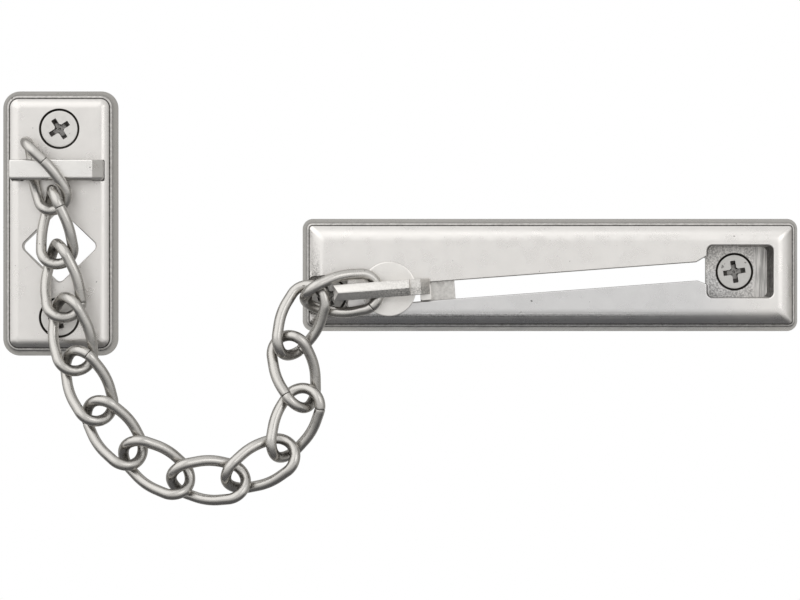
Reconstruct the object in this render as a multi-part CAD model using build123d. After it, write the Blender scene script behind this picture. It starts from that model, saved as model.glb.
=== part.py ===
from build123d import *
import os
from math import cos, radians, sin

# A door chain laid out flat: a holder plate, a slotted track plate with its slider, and the chain
# between them. Everything is drawn flat (x to the right, y up, z towards the viewer) with the wall
# at z = 0, then stood up against the wall. Millimetres and degrees.

# Holder plate, centred on the origin
FRAME_WIDTH = 25.6
FRAME_HEIGHT = 58.6
FRAME_FACE = 5.0
FRAME_CORNER = 3.8
FRAME_RIM = 4.1
FRAME_DRAFT = 1.4
FRAME_SHOULDER = 3.0
FRAME_SCREW_END = 8.5
FRAME_SCREW_SPACING = FRAME_HEIGHT - 2 * FRAME_SCREW_END
FRAME_HEAD = 8.1
WINDOW_WIDTH = 17.2
WINDOW_HEIGHT = 16.5
WINDOW_DROP = 5.1
WINDOW_ROUND = 1.2

# Track plate
TRACK_WIDTH = 109.6
TRACK_HEIGHT = 24.9
TRACK_FACE = 7.0
TRACK_CORNER = 2.3
TRACK_RIM = 5.4
TRACK_DRAFT = 1.2
TRACK_SHOULDER = 3.5
TRACK_HEAD = 7.5
TRACK_EYE_LEFT = 16.94
TRACK_EYE_DROP = 3.3
SLOT_WIDTH = 4.0
SLOT_SLOPE = 4.3
SLOT_FLARE = 1.1
POCKET_WIDTH = 14.7
POCKET_HEIGHT = 11.6
POCKET_RIGHT = 5.8
POCKET_RISE = 0.7
POCKET_FLOOR = 3.0
POCKET_ROUND = 1.3
POCKET_SCREW_LEFT = 1.0
RECESS_SIZE = 8.6
RECESS_LEFT = 1.4
RECESS_DROP = 4.5

# Both castings
WALL = 1.8
LEDGE = 0.4
LEDGE_RISE = 0.1
WELL_WALL = 1.4
BOSS_WALL = 1.3
SHOULDER_STEPS = 4
SMALLEST_CORNER = 0.8

# Staple across the holder plate
STAPLE_WIDTH = 20.4
STAPLE_SIDE = -0.3
STAPLE_RISE = 11.6
STAPLE_BAR = 4.5
STAPLE_THICK = 2.6
STAPLE_GAP = 4.4
STAPLE_LEG = 2.6
STAPLE_BEND = 0.5
STAPLE_BEVEL = 2.2
STAPLE_EDGE = 0.5
STAPLE_FIT = 0.1
RIVET_STEP = 0.6
RIVET_DEPTH = 1.2

# Screws
SHANK = 4.2
SHANK_FIT = 0.2
THREAD = 3.6
THREAD_LENGTH = 18.0
TIP_LENGTH = 4.0
HEAD_BELOW = 0.3
HEAD_FIT = 0.1
CROSS_LENGTH = 4.9
CROSS_WIDTH = 1.1
CROSS_DEPTH = 1.6
CROSS_TURN_TOP = 33.0
CROSS_TURN_BOTTOM = 12.0
CROSS_TURN_LEFT = 20.0
CROSS_TURN_RIGHT = 9.0

# Slider, measured from the middle of its eye
ARM_THICK = 3.5
ARM_TAIL = 9.9
ARM_NOSE = 9.2
ARM_TOP = 15.0
ARM_BEVEL = 1.0
ARM_RIDGE = 0.1
ARM_STEP = 2.4
ARM_STEP_DROP = 1.5
ARM_SET_UP = 1.2
EYE_HOLE = 4.6
EYE_MOUTH = 0.3
COLLAR = 12.0
COLLAR_THICK = 1.0
COLLAR_FORWARD = 2.2
COLLAR_EDGE = 0.3
NECK_START = 9.0
NECK_LENGTH = 2.4
FOOT_LENGTH = 7.7
FOOT_HEIGHT = 8.0
FOOT_THICK = 1.6
FOOT_ROUND = 1.2
SLIDE_FIT = 0.15
STOP_FIT = 0.05

# Chain of twisted wire links
WIRE = 2.4
LINK_LENGTH = 18.7
LINK_WIDTH = 11.7
LINK_TWIST = -42.0
LINK_END_HALF = 3.9
LINK_END_RADIUS = 3.6
LINK_SIDE_RADIUS = 14.0
LINK_SLACK = 1.9
LINK_FIT = 0.05

# Where the first link's wire passes over the staple bar: sideways, up, and out from the wall
CHAIN_START = (-6.3, 16.7, 10.3)

# One row a link, from the staple to the slider: heading, lean towards the viewer, roll about its
# own length, then how far the next link sits sideways and forwards in its end
LINKS = [
    (-64, 4, 55, -0.3, -0.3),
    (-85, 1, 46, 0.0, 0.0),
    (-82, 6, 33, 0.3, 0.1),
    (-79, 0, 19, 0.2, 0.1),
    (-67, 0, 8, -0.2, -0.1),
    (-53, 0, 2, 0.8, -0.3),
    (-33, 0, 4, 0.9, -0.4),
    (-4, 0, 8, 1.0, -0.4),
    (27, 0, 12, 1.2, -0.3),
    (64, 0, 16, 0.6, 0.0),
    (107, 0, 14, -0.3, 0.1),
    (66, 0, 14, -1.0, 0.2),
    (7, 0, 23, 0.0, 0.0),
]

ON_WALL = Plane(origin=(0, 0, 0), x_dir=(1, 0, 0), z_dir=(0, -1, 0))


def rounded_block(width, height, corner, low, high):
    """Upright block with rounded corners between two heights above the wall."""
    return Pos(0, 0, low) * extrude(RectangleRounded(width, height, corner), amount=high - low)


def casting_shell(width, height, corner, rim, draft, shoulder, face):
    """Drafted side wall, a small ledge, then a shoulder that curves up to the flat face."""
    levels = [(0.0, 0.0), (draft, rim), (draft + LEDGE, rim + LEDGE_RISE)]
    start_inset, start_z = levels[-1]
    for step in range(1, SHOULDER_STEPS + 1):
        along = step / SHOULDER_STEPS
        z = face - (face - start_z) * (1 - along) ** 2
        levels.append((start_inset + shoulder * along, z))
    sections = []
    for inset, z in levels:
        radius = max(corner - inset, SMALLEST_CORNER)
        sections.append(Pos(0, 0, z) * RectangleRounded(width - 2 * inset, height - 2 * inset, radius))
    return loft(sections, ruled=True)


def casting_cavity(width, height, corner, draft, face):
    """Open hollow behind the face, one wall thick all round."""
    inset = draft + WALL
    radius = max(corner - inset, SMALLEST_CORNER)
    return rounded_block(width - 2 * inset, height - 2 * inset, radius, 0, face - WALL)


def screw_boss(x, y, head, floor):
    """Post behind a screw hole, from the wall up to the surface that the screw sits in."""
    return Pos(x, y, 0) * extrude(Circle(head / 2 + BOSS_WALL), amount=floor)


def screw_hole(x, y, head, floor):
    """Through hole with a ninety degree seat and room for the head below the surface."""
    hole = SHANK / 2 + SHANK_FIT
    mouth = head / 2 + HEAD_FIT + HEAD_BELOW
    seat = Pos(0, 0, floor - (mouth - hole) / 2) * Cone(hole, mouth, mouth - hole)
    bore = Pos(0, 0, floor / 2) * Cylinder(hole, floor)
    return Pos(x, y, 0) * (seat + bore)


def screw(x, y, head, floor, turn):
    """Countersunk cross-recess wood screw whose head sits just below the surface."""
    top = floor - HEAD_BELOW
    under = top - (head - SHANK) / 2
    outline = Polyline(
        (0, top),
        (head / 2, top),
        (SHANK / 2, under),
        (SHANK / 2, 0),
        (THREAD / 2, 0),
        (THREAD / 2, TIP_LENGTH - THREAD_LENGTH),
        (0, -THREAD_LENGTH),
        close=True,
    )
    body = revolve(Plane.XZ * make_face(outline), axis=Axis.Z)
    for arm_turn in (turn, turn + 90):
        mouth = Rectangle(CROSS_LENGTH, CROSS_WIDTH)
        bottom = Pos(0, 0, -CROSS_DEPTH) * Rectangle(CROSS_LENGTH / 2, CROSS_WIDTH / 2)
        body -= Pos(0, 0, top) * Rot(0, 0, arm_turn) * loft([mouth, bottom])
    return Pos(x, y, 0) * body


def staple_leg_x(side):
    """Middle of the left or right leg of the staple."""
    return STAPLE_SIDE + side * (STAPLE_WIDTH - STAPLE_LEG) / 2


def make_staple():
    """Bridge bar with two legs that pass through the plate and are riveted over behind it."""
    top = FRAME_FACE + STAPLE_GAP + STAPLE_THICK
    bar = Pos(0, 0, (RIVET_DEPTH + top) / 2) * Box(STAPLE_WIDTH, STAPLE_BAR, top - RIVET_DEPTH)
    left, right = bar.edges().filter_by(Axis.Y).group_by(Axis.Z)[-1].sort_by(Axis.X)
    bar = fillet(left, STAPLE_BEND)
    bar = chamfer(bar.edges().filter_by(Axis.Y).group_by(Axis.Z)[-1].sort_by(Axis.X)[-1], STAPLE_BEVEL)
    bar = fillet(bar.edges().filter_by(Axis.X).group_by(Axis.Z)[-1], STAPLE_EDGE)
    gap_height = FRAME_FACE + STAPLE_GAP - RIVET_DEPTH
    gap_width = STAPLE_WIDTH - 2 * STAPLE_LEG
    gap = Pos(0, 0, RIVET_DEPTH + gap_height / 2) * Box(gap_width, STAPLE_BAR, gap_height)
    staple = bar - gap
    for side in (-1, 1):
        head_thick = RIVET_DEPTH - STAPLE_FIT
        staple += Pos(staple_leg_x(side) - STAPLE_SIDE, 0, RIVET_DEPTH - head_thick / 2) * Box(
            STAPLE_LEG + RIVET_STEP, STAPLE_BAR + RIVET_STEP, head_thick
        )
    return Pos(STAPLE_SIDE, STAPLE_RISE, 0) * staple


def staple_holes():
    """Square hole for each leg with a wider sink behind it for the rivet head."""
    wide = STAPLE_LEG + 2 * STAPLE_FIT
    tall = STAPLE_BAR + 2 * STAPLE_FIT
    leg = Pos(0, 0, FRAME_FACE / 2) * Box(wide, tall, FRAME_FACE)
    sink = Pos(0, 0, RIVET_DEPTH / 2) * Box(wide + RIVET_STEP, tall + RIVET_STEP, RIVET_DEPTH)
    return [Pos(staple_leg_x(side), STAPLE_RISE, 0) * (leg + sink) for side in (-1, 1)]


def window(grow, low, high):
    """Diamond with rounded points, between two heights."""
    half_x = WINDOW_WIDTH / 2 + grow
    half_y = WINDOW_HEIGHT / 2 + grow
    outline = make_face(Polyline((half_x, 0), (0, half_y), (-half_x, 0), (0, -half_y), close=True))
    outline = fillet(outline.vertices(), WINDOW_ROUND)
    return Pos(0, -WINDOW_DROP, low) * extrude(outline, amount=high - low)


def make_frame_plate():
    outer = casting_shell(
        FRAME_WIDTH, FRAME_HEIGHT, FRAME_CORNER, FRAME_RIM, FRAME_DRAFT, FRAME_SHOULDER, FRAME_FACE
    )
    hollow = casting_cavity(FRAME_WIDTH, FRAME_HEIGHT, FRAME_CORNER, FRAME_DRAFT, FRAME_FACE)
    ceiling = FRAME_FACE - WALL
    for side in (-1, 1):
        hollow -= screw_boss(0, side * FRAME_SCREW_SPACING / 2, FRAME_HEAD, ceiling)
        block = STAPLE_LEG + 2 * WELL_WALL + RIVET_STEP
        hollow -= Pos(staple_leg_x(side), STAPLE_RISE, ceiling / 2) * Box(
            block, STAPLE_BAR + 2 * WELL_WALL + RIVET_STEP, ceiling
        )
    hollow -= window(WELL_WALL, 0, ceiling)
    plate = outer - hollow - window(0, 0, FRAME_FACE)
    for side in (-1, 1):
        plate -= screw_hole(0, side * FRAME_SCREW_SPACING / 2, FRAME_HEAD, FRAME_FACE)
    for hole in staple_holes():
        plate -= hole
    return plate


def link_place(heading, lean, roll, centre):
    """Where a link lies: its long side along the heading, tipped forwards, then rolled."""
    return Pos(*centre) * Rot(0, 0, heading) * Rot(0, -lean, 0) * Rot(roll, 0, 0)


def chain_walk():
    """Centres of the links, the points where they hang in each other, and the eye at the end."""
    inner = LINK_LENGTH / 2 - WIRE - LINK_FIT - LINK_SLACK / 2
    crown = (LINK_LENGTH - WIRE) / 2
    point = Vector(*CHAIN_START)
    centres = []
    joints = []
    for number, (heading, lean, roll, side, rise) in enumerate(LINKS):
        turn = radians(heading)
        tip = radians(lean)
        along = Vector(cos(turn) * cos(tip), sin(turn) * cos(tip), sin(tip))
        across = Vector(-sin(turn), cos(turn), 0)
        near = crown - WIRE / 2 if number == 0 else inner
        far = crown if number == len(LINKS) - 1 else inner
        centre = point + along * near
        point = centre + along * far + across * side + Vector(0, 0, rise)
        centres.append(centre)
        joints.append(point)
    return centres, joints


def make_link():
    """One wire bent to a closed, twisted ring with bowed sides, butted beside one end."""
    reach = (LINK_LENGTH - WIRE) / 2
    bow = (LINK_WIDTH - WIRE) / 2
    up = LINK_END_HALF * cos(radians(LINK_TWIST))
    out = LINK_END_HALF * sin(radians(LINK_TWIST))
    corners = [
        (reach, up, out),
        (0, bow, 0),
        (-reach, up, -out),
        (-reach, -up, out),
        (0, -bow, 0),
        (reach, -up, -out),
    ]
    end = LINK_END_RADIUS
    side = LINK_SIDE_RADIUS
    path = FilletPolyline(*corners, radius=[end, side, end, end, side, end], close=True)
    spans = []
    for edge in path.edges():
        section = Plane(origin=edge @ 0, z_dir=edge % 0) * Circle(WIRE / 2)
        spans.append(sweep(section, path=Wire([edge])))
    return spans[0].fuse(*spans[1:])


CENTRES, JOINTS = chain_walk()
EYE = JOINTS[-1]
TRACK_X = EYE.X - TRACK_EYE_LEFT + TRACK_WIDTH / 2
TRACK_Y = EYE.Y + TRACK_EYE_DROP


def in_track(x, y):
    """A point of the slot's own frame, whose x runs along the slot from the eye, in the track's."""
    slope = radians(SLOT_SLOPE)
    eye_x = TRACK_EYE_LEFT - TRACK_WIDTH / 2
    return eye_x + x * cos(slope) - y * sin(slope), -TRACK_EYE_DROP + x * sin(slope) + y * cos(slope)


def pocket_centre():
    """Middle of the pocket, from the middle of the track plate."""
    return TRACK_WIDTH / 2 - POCKET_RIGHT - POCKET_WIDTH / 2, POCKET_RISE


def recess_centre():
    """Middle of the left screw's recess, from the middle of the track plate."""
    return RECESS_LEFT + RECESS_SIZE / 2 - TRACK_WIDTH / 2, -RECESS_DROP


def slot_stop():
    """Middle of the round end of the slot, where the slider's collar stud stops."""
    return COLLAR_FORWARD + SLIDE_FIT - STOP_FIT


def make_slot():
    """Slanted slot from its round end to the pocket, with a flared mouth."""
    start = slot_stop()
    pocket_x = pocket_centre()[0] - POCKET_WIDTH / 2
    eye_x = TRACK_EYE_LEFT - TRACK_WIDTH / 2
    end = (pocket_x - eye_x) / cos(radians(SLOT_SLOPE)) + WALL
    half = SLOT_WIDTH / 2
    line = make_face(Polyline((start, -half), (end, -half), (end, half), (start, half), close=True))
    flare_start = end - WALL - 2 * SLOT_FLARE
    flare = make_face(
        Polyline(
            (flare_start, -half),
            (end - WALL, -half - SLOT_FLARE),
            (end, -half - SLOT_FLARE),
            (end, half + SLOT_FLARE),
            (end - WALL, half + SLOT_FLARE),
            (flare_start, half),
            close=True,
        )
    )
    outline = line + flare + Pos(start, 0, 0) * Circle(half)
    eye_place = Pos(*in_track(0, -ARM_SET_UP)) * Rot(0, 0, SLOT_SLOPE)
    return Pos(0, 0, TRACK_FACE - 2 * WALL) * extrude(eye_place * outline, amount=3 * WALL)


def well(centre, width, height, low, high, grow):
    """Upright block of a pocket's outline, or of that outline grown by its wall."""
    return Pos(*centre) * rounded_block(width + 2 * grow, height + 2 * grow, POCKET_ROUND + grow, low, high)


def make_track_plate():
    outer = casting_shell(
        TRACK_WIDTH, TRACK_HEIGHT, TRACK_CORNER, TRACK_RIM, TRACK_DRAFT, TRACK_SHOULDER, TRACK_FACE
    )
    hollow = casting_cavity(TRACK_WIDTH, TRACK_HEIGHT, TRACK_CORNER, TRACK_DRAFT, TRACK_FACE)
    ceiling = TRACK_FACE - WALL
    pocket = pocket_centre()
    recess = recess_centre()
    # The pocket's walls stand from the wall to the face, except where the slider's foot comes in
    hollow -= well(pocket, POCKET_WIDTH, POCKET_HEIGHT, 0, POCKET_FLOOR, WELL_WALL)
    walls = well(pocket, POCKET_WIDTH, POCKET_HEIGHT, POCKET_FLOOR, ceiling, WELL_WALL)
    walls -= Pos(pocket[0] - POCKET_WIDTH / 2, pocket[1], (POCKET_FLOOR + ceiling) / 2) * Box(
        POCKET_WIDTH, TRACK_HEIGHT, ceiling - POCKET_FLOOR
    )
    hollow -= walls
    hollow -= well(recess, RECESS_SIZE, RECESS_SIZE, 0, ceiling, WELL_WALL)
    plate = outer - hollow
    plate -= well(pocket, POCKET_WIDTH, POCKET_HEIGHT, POCKET_FLOOR, TRACK_FACE, 0)
    plate -= well(recess, RECESS_SIZE, RECESS_SIZE, POCKET_FLOOR, TRACK_FACE, 0)
    plate -= make_slot()
    for x, y in (recess, screw_in_pocket()):
        plate -= screw_hole(x, y, TRACK_HEAD, POCKET_FLOOR)
    return Pos(TRACK_X, TRACK_Y, 0) * plate


def screw_in_pocket():
    """The pocket's screw, a little left of the pocket's middle."""
    x, y = pocket_centre()
    return x - POCKET_SCREW_LEFT, y


def make_slider():
    """One casting: arm on edge with the eye, round collar with a stud, sloping neck and foot."""
    half = ARM_THICK / 2
    collar_top = TRACK_FACE + SLIDE_FIT + COLLAR_THICK
    foot_top = TRACK_FACE - WALL - SLIDE_FIT
    neck_end = NECK_START + NECK_LENGTH
    profile = Polyline(
        (-ARM_TAIL, collar_top - COLLAR_THICK / 2),
        (-ARM_TAIL, ARM_TOP - ARM_BEVEL),
        (-ARM_TAIL + ARM_BEVEL, ARM_TOP),
        (ARM_NOSE - ARM_STEP, ARM_TOP),
        (ARM_NOSE - ARM_STEP, ARM_TOP - ARM_STEP_DROP),
        (ARM_NOSE, ARM_TOP - ARM_STEP_DROP),
        (neck_end, collar_top),
        (neck_end, collar_top - COLLAR_THICK / 2),
        close=True,
    )
    arm = extrude(Plane.XZ * make_face(profile), amount=half, both=True)
    ridge = arm.edges().filter_by(Axis.X).group_by(Axis.Z)[-1]
    arm = chamfer(ridge, half - ARM_RIDGE, ARM_BEVEL)
    disc = extrude(Circle(COLLAR / 2), amount=COLLAR_THICK)
    collar = Pos(COLLAR_FORWARD, 0, collar_top - COLLAR_THICK) * disc
    collar = fillet(collar.edges().group_by(Axis.Z)[-1], COLLAR_EDGE)
    stud = Pos(COLLAR_FORWARD, -ARM_SET_UP, foot_top + SLIDE_FIT) * extrude(
        Circle(SLOT_WIDTH / 2 - SLIDE_FIT), amount=collar_top - COLLAR_THICK / 2 - foot_top - SLIDE_FIT
    )
    neck = Pos((NECK_START + neck_end) / 2, -ARM_SET_UP, 0) * rounded_block(
        NECK_LENGTH, SLOT_WIDTH - 2 * SLIDE_FIT, NECK_LENGTH / 6, foot_top - FOOT_THICK / 2, collar_top
    )
    foot = Pos(NECK_START + FOOT_LENGTH / 2, -ARM_SET_UP, 0) * rounded_block(
        FOOT_LENGTH, FOOT_HEIGHT, FOOT_ROUND, foot_top - FOOT_THICK, foot_top
    )
    slider = arm + collar + stud + neck + foot
    hole = Pos(0, 0, EYE.Z) * Rot(90, 0, 0) * Cylinder(EYE_HOLE / 2, 2 * ARM_THICK)
    slider -= hole
    for side in (-1, 1):
        mouth = Cone(EYE_HOLE / 2, EYE_HOLE / 2 + 2 * EYE_MOUTH, 2 * EYE_MOUTH)
        slider -= Pos(0, side * half, EYE.Z) * Rot(-side * 90, 0, 0) * mouth
    return Pos(EYE.X, EYE.Y, 0) * Rot(0, 0, SLOT_SLOPE) * slider


def write(name, solid):
    """Stand one piece up against the wall and write it."""
    export_step(ON_WALL.location * solid, f"parts/{name}.step")


os.makedirs("parts", exist_ok=True)
write("frame_plate", make_frame_plate())
write("chain_staple", make_staple())
half_spacing = FRAME_SCREW_SPACING / 2
write("frame_screw_top", screw(0, half_spacing, FRAME_HEAD, FRAME_FACE, CROSS_TURN_TOP))
write("frame_screw_bottom", screw(0, -half_spacing, FRAME_HEAD, FRAME_FACE, CROSS_TURN_BOTTOM))
write("track_plate", make_track_plate())
for name, (x, y), turn in (
    ("track_screw_left", recess_centre(), CROSS_TURN_LEFT),
    ("track_screw_right", screw_in_pocket(), CROSS_TURN_RIGHT),
):
    write(name, Pos(TRACK_X, TRACK_Y, 0) * screw(x, y, TRACK_HEAD, POCKET_FLOOR, turn))
write("slider", make_slider())
ring = make_link()
for number, (heading, lean, roll, side, rise) in enumerate(LINKS):
    place = link_place(heading, lean, roll, CENTRES[number])
    write(f"link_{number + 1:02d}", place * ring)
for number, point in enumerate(JOINTS):
    print(f"joint {number + 1}: {point.X:.2f} {point.Y:.2f} {point.Z:.2f}")
print(f"track centre: {TRACK_X:.2f} {TRACK_Y:.2f}")
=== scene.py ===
import bpy
import numpy as np
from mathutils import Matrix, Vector


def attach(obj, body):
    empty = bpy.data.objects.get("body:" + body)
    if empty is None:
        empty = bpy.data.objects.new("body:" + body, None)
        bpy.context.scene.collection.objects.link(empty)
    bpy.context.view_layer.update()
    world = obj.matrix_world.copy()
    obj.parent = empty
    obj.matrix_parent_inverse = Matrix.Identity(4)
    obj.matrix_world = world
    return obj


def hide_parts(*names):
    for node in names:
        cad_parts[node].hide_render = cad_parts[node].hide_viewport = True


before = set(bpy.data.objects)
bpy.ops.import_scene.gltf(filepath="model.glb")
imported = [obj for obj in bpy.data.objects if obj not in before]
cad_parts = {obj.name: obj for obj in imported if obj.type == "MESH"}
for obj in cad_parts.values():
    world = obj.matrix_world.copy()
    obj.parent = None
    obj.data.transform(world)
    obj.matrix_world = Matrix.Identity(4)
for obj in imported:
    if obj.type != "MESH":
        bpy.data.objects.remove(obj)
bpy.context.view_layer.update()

# Holder plate
# A small die-cast plate for the door frame, satin nickel plated. Its side wall ends in a rounded bead, with
# a fine groove inside it, and a soft shoulder climbs to the flat face. Hollow behind, with a diamond window.
FRAME_SIZE = (25.6, 58.6)
FRAME_FACE = 5.0
FRAME_CORNER = 3.8
SMALLEST_CORNER = 0.8
CORNER_POINTS = 15
ARC_STEP = 9.0

# How far the bead and the groove lie in from the plate's edge, and how high
FRAME_BEAD = (1.3, 4.3)
FRAME_GROOVE = (1.75, 3.95)
FRAME_SHOULDER = 3.95
SHOULDER_RINGS = 14
BACK_LAND = 1.0
FOOT_ROUND = 0.1
BEAD_ROUND = 0.5
WALL = 1.8
HOLLOW_ROUND = 0.5
MID_ROUND = 0.3

WINDOW_HALF = (8.6, 8.25)
WINDOW_DROP = 5.1
WINDOW_CORNER = 1.3
WINDOW_WALL = 1.2
WINDOW_WALL_CORNER = 2.0
EDGE_ROUND = 0.28
EDGE_SWEEP = 82.0
EDGE_STEPS = 8
EDGE_END = 1.02

FRAME_SCREWS = 20.8
FRAME_HEAD = 8.1
SEAT_BORE = 2.3
SEAT_EDGE = 0.4
SEAT_LIP = ((-0.12, -0.12), (-0.02, -0.04), (0.1, 0), (0.2, 0.03), (0.2, 0.1))
SEAT_WALL = 1.3

STAPLE_LEGS = (-9.2, 8.6)
STAPLE_RISE = 11.6
STAPLE_THICK = 2.6
STAPLE_TALL = 4.5
LEG_FIT = 0.2
LEG_CORNER = 0.3
LEG_CUT_TOP = 8.0
LEG_WALL = (1.9, 3.4)
LEG_WALL_CORNER = 0.6
RIVET_FIT = 0.8
RIVET_DEPTH = 1.2

# Where cutters start and end past the metal, and how far the walls behind an opening reach
CUT_BELOW = -1.0
CUT_PAST = 0.4
WELL_FOOT = 0.02
WELL_OVERLAP = 0.6
HAIR = 0.01

# Painted shade on the bead, in the groove inside it and in the screw seats
BEAD_SHADE = 0.52
GROOVE_REACH = 0.34
GROOVE_DEEP = 0.6
SEAT_SHADE_PAST = 0.04
SEAT_SHADE_FADE = 0.06


def rounded(corners, radii):
    """Polyline whose corner k becomes an arc of radius r. The arc starts r tan(a / 2) before the corner,
    where a is the turn there, and its centre lies r to the side; a radius of 0 keeps the corner."""
    corners = np.array(corners, float)
    runs = []
    for k, radius in enumerate(radii):
        here = corners[k]
        if radius == 0:
            runs.append(here[None])
            continue
        back = corners[k - 1] - here
        ahead = corners[(k + 1) % len(corners)] - here
        back /= np.linalg.norm(back)
        ahead /= np.linalg.norm(ahead)
        bend = np.arccos(np.clip(-back @ ahead, -1, 1))
        side = np.sign(back[1] * ahead[0] - back[0] * ahead[1])
        start = here + back * radius * np.tan(bend / 2)
        centre = start + radius * side * np.array([back[1], -back[0]])
        steps = int(np.ceil(np.degrees(bend) / ARC_STEP))
        angle = side * np.linspace(0, bend, steps + 1)[:, None]
        arm = start - centre
        runs.append(centre + np.cos(angle) * arm + np.sin(angle) * np.array([-arm[1], arm[0]]))
    return np.vstack(runs)


def rectangle_rings(width, height, corner, profile):
    """Rings of a rounded rectangle, one for each (inset, z) of the profile. A corner's point at angle a is
    the corner's centre plus r (cos a, sin a), with r the corner radius less the inset."""
    inset, z = np.array(profile, float).T
    radius = np.maximum(corner - inset, SMALLEST_CORNER)
    angle = np.linspace(0, np.pi / 2, CORNER_POINTS)[None, :] + (np.pi / 2 * np.arange(4))[:, None]
    sign_x = np.repeat([1, -1, -1, 1], CORNER_POINTS)
    sign_y = np.repeat([1, 1, -1, -1], CORNER_POINTS)
    angle = angle.ravel()
    centre_x = (width / 2 - inset - radius)[:, None] * sign_x
    centre_y = (height / 2 - inset - radius)[:, None] * sign_y
    x = centre_x + radius[:, None] * np.cos(angle)
    y = centre_y + radius[:, None] * np.sin(angle)
    return np.stack([x, y, np.repeat(z[:, None], x.shape[1], 1)], 2)


def outline_rings(outline, profile):
    """Rings of a closed outline, one for each (outset, z) of the profile. A point moves along the mean
    normal of its two edges, by the outset over the cosine of half the turn."""
    outline = np.array(outline, float)
    outset, z = np.array(profile, float).T
    edge = np.roll(outline, -1, 0) - outline
    normal = np.stack([edge[:, 1], -edge[:, 0]], 1) / np.linalg.norm(edge, axis=1)[:, None]
    mean = normal + np.roll(normal, 1, 0)
    mean /= np.linalg.norm(mean, axis=1)[:, None]
    reach = mean / (mean * normal).sum(1)[:, None]
    flat = outline[None] + reach[None] * outset[:, None, None]
    return np.concatenate([flat, np.repeat(z[:, None, None], len(outline), 1)], 2)


def circle(radius, points=72):
    """Points (r cos a, r sin a), a going once round."""
    angle = np.linspace(0, 2 * np.pi, points, endpoint=False)
    return radius * np.stack([np.cos(angle), np.sin(angle)], 1)


def ring_faces(rings, around, closed=False):
    """Quads between each ring and the next, going once round, and from the last ring to the first if the
    row of rings is closed."""
    ring = np.arange(rings if closed else rings - 1)[:, None] * around
    after = (ring + around) % (rings * around)
    here = np.arange(around)[None, :]
    there = (here + 1) % around
    return np.stack([ring + here, ring + there, after + there, after + here], 2).reshape(-1, 4)


def on_wall(points):
    """Drawn flat in millimetres, x right, y up, z to the viewer; stands up against the wall in metres."""
    points = np.asarray(points, float)
    return np.stack([points[..., 0], -points[..., 2], points[..., 1]], -1) / 1000


def off_wall(points):
    """The way back, from metres against the wall to the drawing's millimetres."""
    return np.stack([points[:, 0], points[:, 2], -points[:, 1]], 1) * 1000


def vectors(items, label):
    """One vector for each of a mesh's points or faces, such as its place, its centre or its normal."""
    values = np.empty(len(items) * 3)
    items.foreach_get(label, values)
    return values.reshape(-1, 3)


def drawn(piece):
    """The piece's points, back in the drawing's millimetres."""
    return off_wall(vectors(piece.data.vertices, "co"))


def mark(piece, name, values):
    """A value for each point, between 0 and 1, for the finish to read."""
    values = np.clip(np.asarray(values, np.float32), 0, 1)
    piece.data.attributes.new(name, "FLOAT", "POINT").data.foreach_set("value", values)


def new_piece(name, points, faces):
    """Object at the origin, with its place in its mesh."""
    mesh = bpy.data.meshes.new(name)
    mesh.from_pydata(points, [], faces)
    mesh.validate()
    piece = bpy.data.objects.new(name, mesh)
    bpy.context.scene.collection.objects.link(piece)
    return piece


def solid(name, rings, place=(0, 0, 0)):
    """Closed shell of the rings, from the lowest to the highest, with a flat cap at each end."""
    count, around, _ = rings.shape
    points = on_wall(rings.reshape(-1, 3) + np.array(place, float))
    faces = ring_faces(count, around).tolist()
    faces.append(list(range(around))[::-1])
    faces.append(list(range((count - 1) * around, count * around)))
    return new_piece(name, points.tolist(), faces)


def shape_with(piece, tools, operation):
    """Cut the tools out of the piece, or join them to it, and drop them."""
    for tool in tools:
        step = piece.modifiers.new(tool.name, "BOOLEAN")
        step.operation = operation
        step.solver = "EXACT"
        step.object = tool
    graph = bpy.context.evaluated_depsgraph_get()
    made = bpy.data.meshes.new_from_object(piece.evaluated_get(graph))
    piece.modifiers.clear()
    piece.data = made
    for tool in tools:
        bpy.data.objects.remove(tool)


def smooth(piece, crease=35.0):
    """Smooth shading with creases kept, and normals that lean to the larger face."""
    piece.data.shade_smooth()
    piece.data.set_sharp_from_angle(angle=np.radians(crease))
    lean = piece.modifiers.new("even_normals", "WEIGHTED_NORMAL")
    lean.keep_sharp = True


def screw_seat(place, head, floor):
    """Cutter for a through hole with a ninety degree seat, its mouth edge slightly rounded."""
    rim = head / 2 + SEAT_EDGE - SEAT_BORE
    profile = [(0, CUT_BELOW), (0, floor - rim)]
    profile += [(rim + out, floor + up) for out, up in SEAT_LIP]
    return solid("seat", outline_rings(circle(SEAT_BORE), profile), (*place, 0))


def seat_shade(points, place, head, floor):
    """Painted shade: 1 inside a screw's seat, 0 from its mouth outwards."""
    reach = np.hypot(points[:, 0] - place[0], points[:, 1] - place[1])
    end = head / 2 + SEAT_EDGE + SEAT_SHADE_PAST
    return np.clip((end - reach) / SEAT_SHADE_FADE, 0, 1) * (points[:, 2] < floor + HAIR)


def edge_profile(low, face, radius):
    """Wall of an opening from low to the face, ending in a rounded edge that opens outwards: at angle a it
    lies r (1 - cos a) outwards and r (1 - sin a) below the face."""
    angle = np.radians(np.linspace(0, EDGE_SWEEP, EDGE_STEPS))
    arc = np.stack([radius * (1 - np.cos(angle)), face - radius + radius * np.sin(angle)], 1)
    return np.vstack([[(0, low)], arc, [(radius * EDGE_END, face + CUT_PAST)]])


def well(outline, low, high, place):
    """Upright block of an outline, for a plain cut or for the walls that stand behind an opening."""
    return solid("well", outline_rings(outline, [(0, low), (0, high)]), place)


def box_outline(width, height, corner=0.0):
    """Rectangle about its middle, its four corners rounded."""
    half_x = width / 2
    half_y = height / 2
    return rounded([(half_x, half_y), (-half_x, half_y), (-half_x, -half_y), (half_x, -half_y)], [corner] * 4)


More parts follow.
